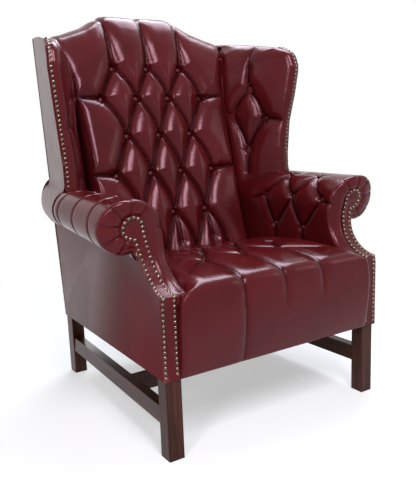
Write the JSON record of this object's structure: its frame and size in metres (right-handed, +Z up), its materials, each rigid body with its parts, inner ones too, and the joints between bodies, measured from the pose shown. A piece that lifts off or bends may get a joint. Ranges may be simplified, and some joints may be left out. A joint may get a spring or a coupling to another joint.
{
  "type": "wingback armchair",
  "caption": "High back wing armchair with deep buttoned leather, rolled arms, a shaped crest, nailed facings and square wooden legs joined by an H stretcher.",
  "frame": {"origin": "on the floor, under the middle of the chair's bounding box", "axes": "+Z up, -Y towards the front of the seat, +X to the right of someone who faces the chair"},
  "size_m": [0.9158, 0.8314, 1.17],
  "materials": {
    "dark_wood": "satin",
    "frame_wood": "matte",
    "padded_leather": "semi-gloss",
    "leather": "semi-gloss",
    "nail_brass": "antique",
    "steel": "satin",
    "canvas": "matte",
    "webbing": "matte",
    "dust_cloth": "matte"
  },
  "bodies": {
    "root": {"arm_buttons_left": "leather", "arm_buttons_right": "leather", "arm_facing_left": "leather", "arm_facing_right": "leather", "arm_nails_left": "nail_brass", "arm_nails_right": "nail_brass", "arm_pad_left": "padded_leather", "arm_pad_right": "padded_leather", "arm_post_left": "frame_wood", "arm_post_right": "frame_wood", "arm_rail_left": "frame_wood", "arm_rail_right": "frame_wood", "back_buttons": "leather", "back_canvas": "canvas", "back_leg_left": "dark_wood", "back_leg_right": "dark_wood", "back_pad": "padded_leather", "back_post_left": "frame_wood", "back_post_right": "frame_wood", "back_seat_rail": "frame_wood", "back_tack_rail": "frame_wood", "back_webbing": "webbing", "corner_blocks": "frame_wood", "corner_screws": "steel", "crest_rail": "frame_wood", "cross_stretcher": "dark_wood", "dust_cover": "dust_cloth", "front_leg_left": "dark_wood", "front_leg_right": "dark_wood", "front_seat_rail": "frame_wood", "outside_arm_left": "leather", "outside_arm_right": "leather", "outside_back": "leather", "outside_wing_left": "leather", "outside_wing_right": "leather", "seat_buttons": "leather", "seat_canvas": "canvas", "seat_pad": "padded_leather", "seat_springs": "steel", "side_seat_rail_left": "frame_wood", "side_seat_rail_right": "frame_wood", "side_stretcher_left": "dark_wood", "side_stretcher_right": "dark_wood", "spring_clips": "steel", "wing_buttons_left": "leather", "wing_buttons_right": "leather", "wing_nails_left": "nail_brass", "wing_nails_right": "nail_brass", "wing_pad_left": "padded_leather", "wing_pad_right": "padded_leather", "wing_post_left": "frame_wood", "wing_post_right": "frame_wood", "wing_rail_left": "frame_wood", "wing_rail_right": "frame_wood"}
  },
  "joints": []
}
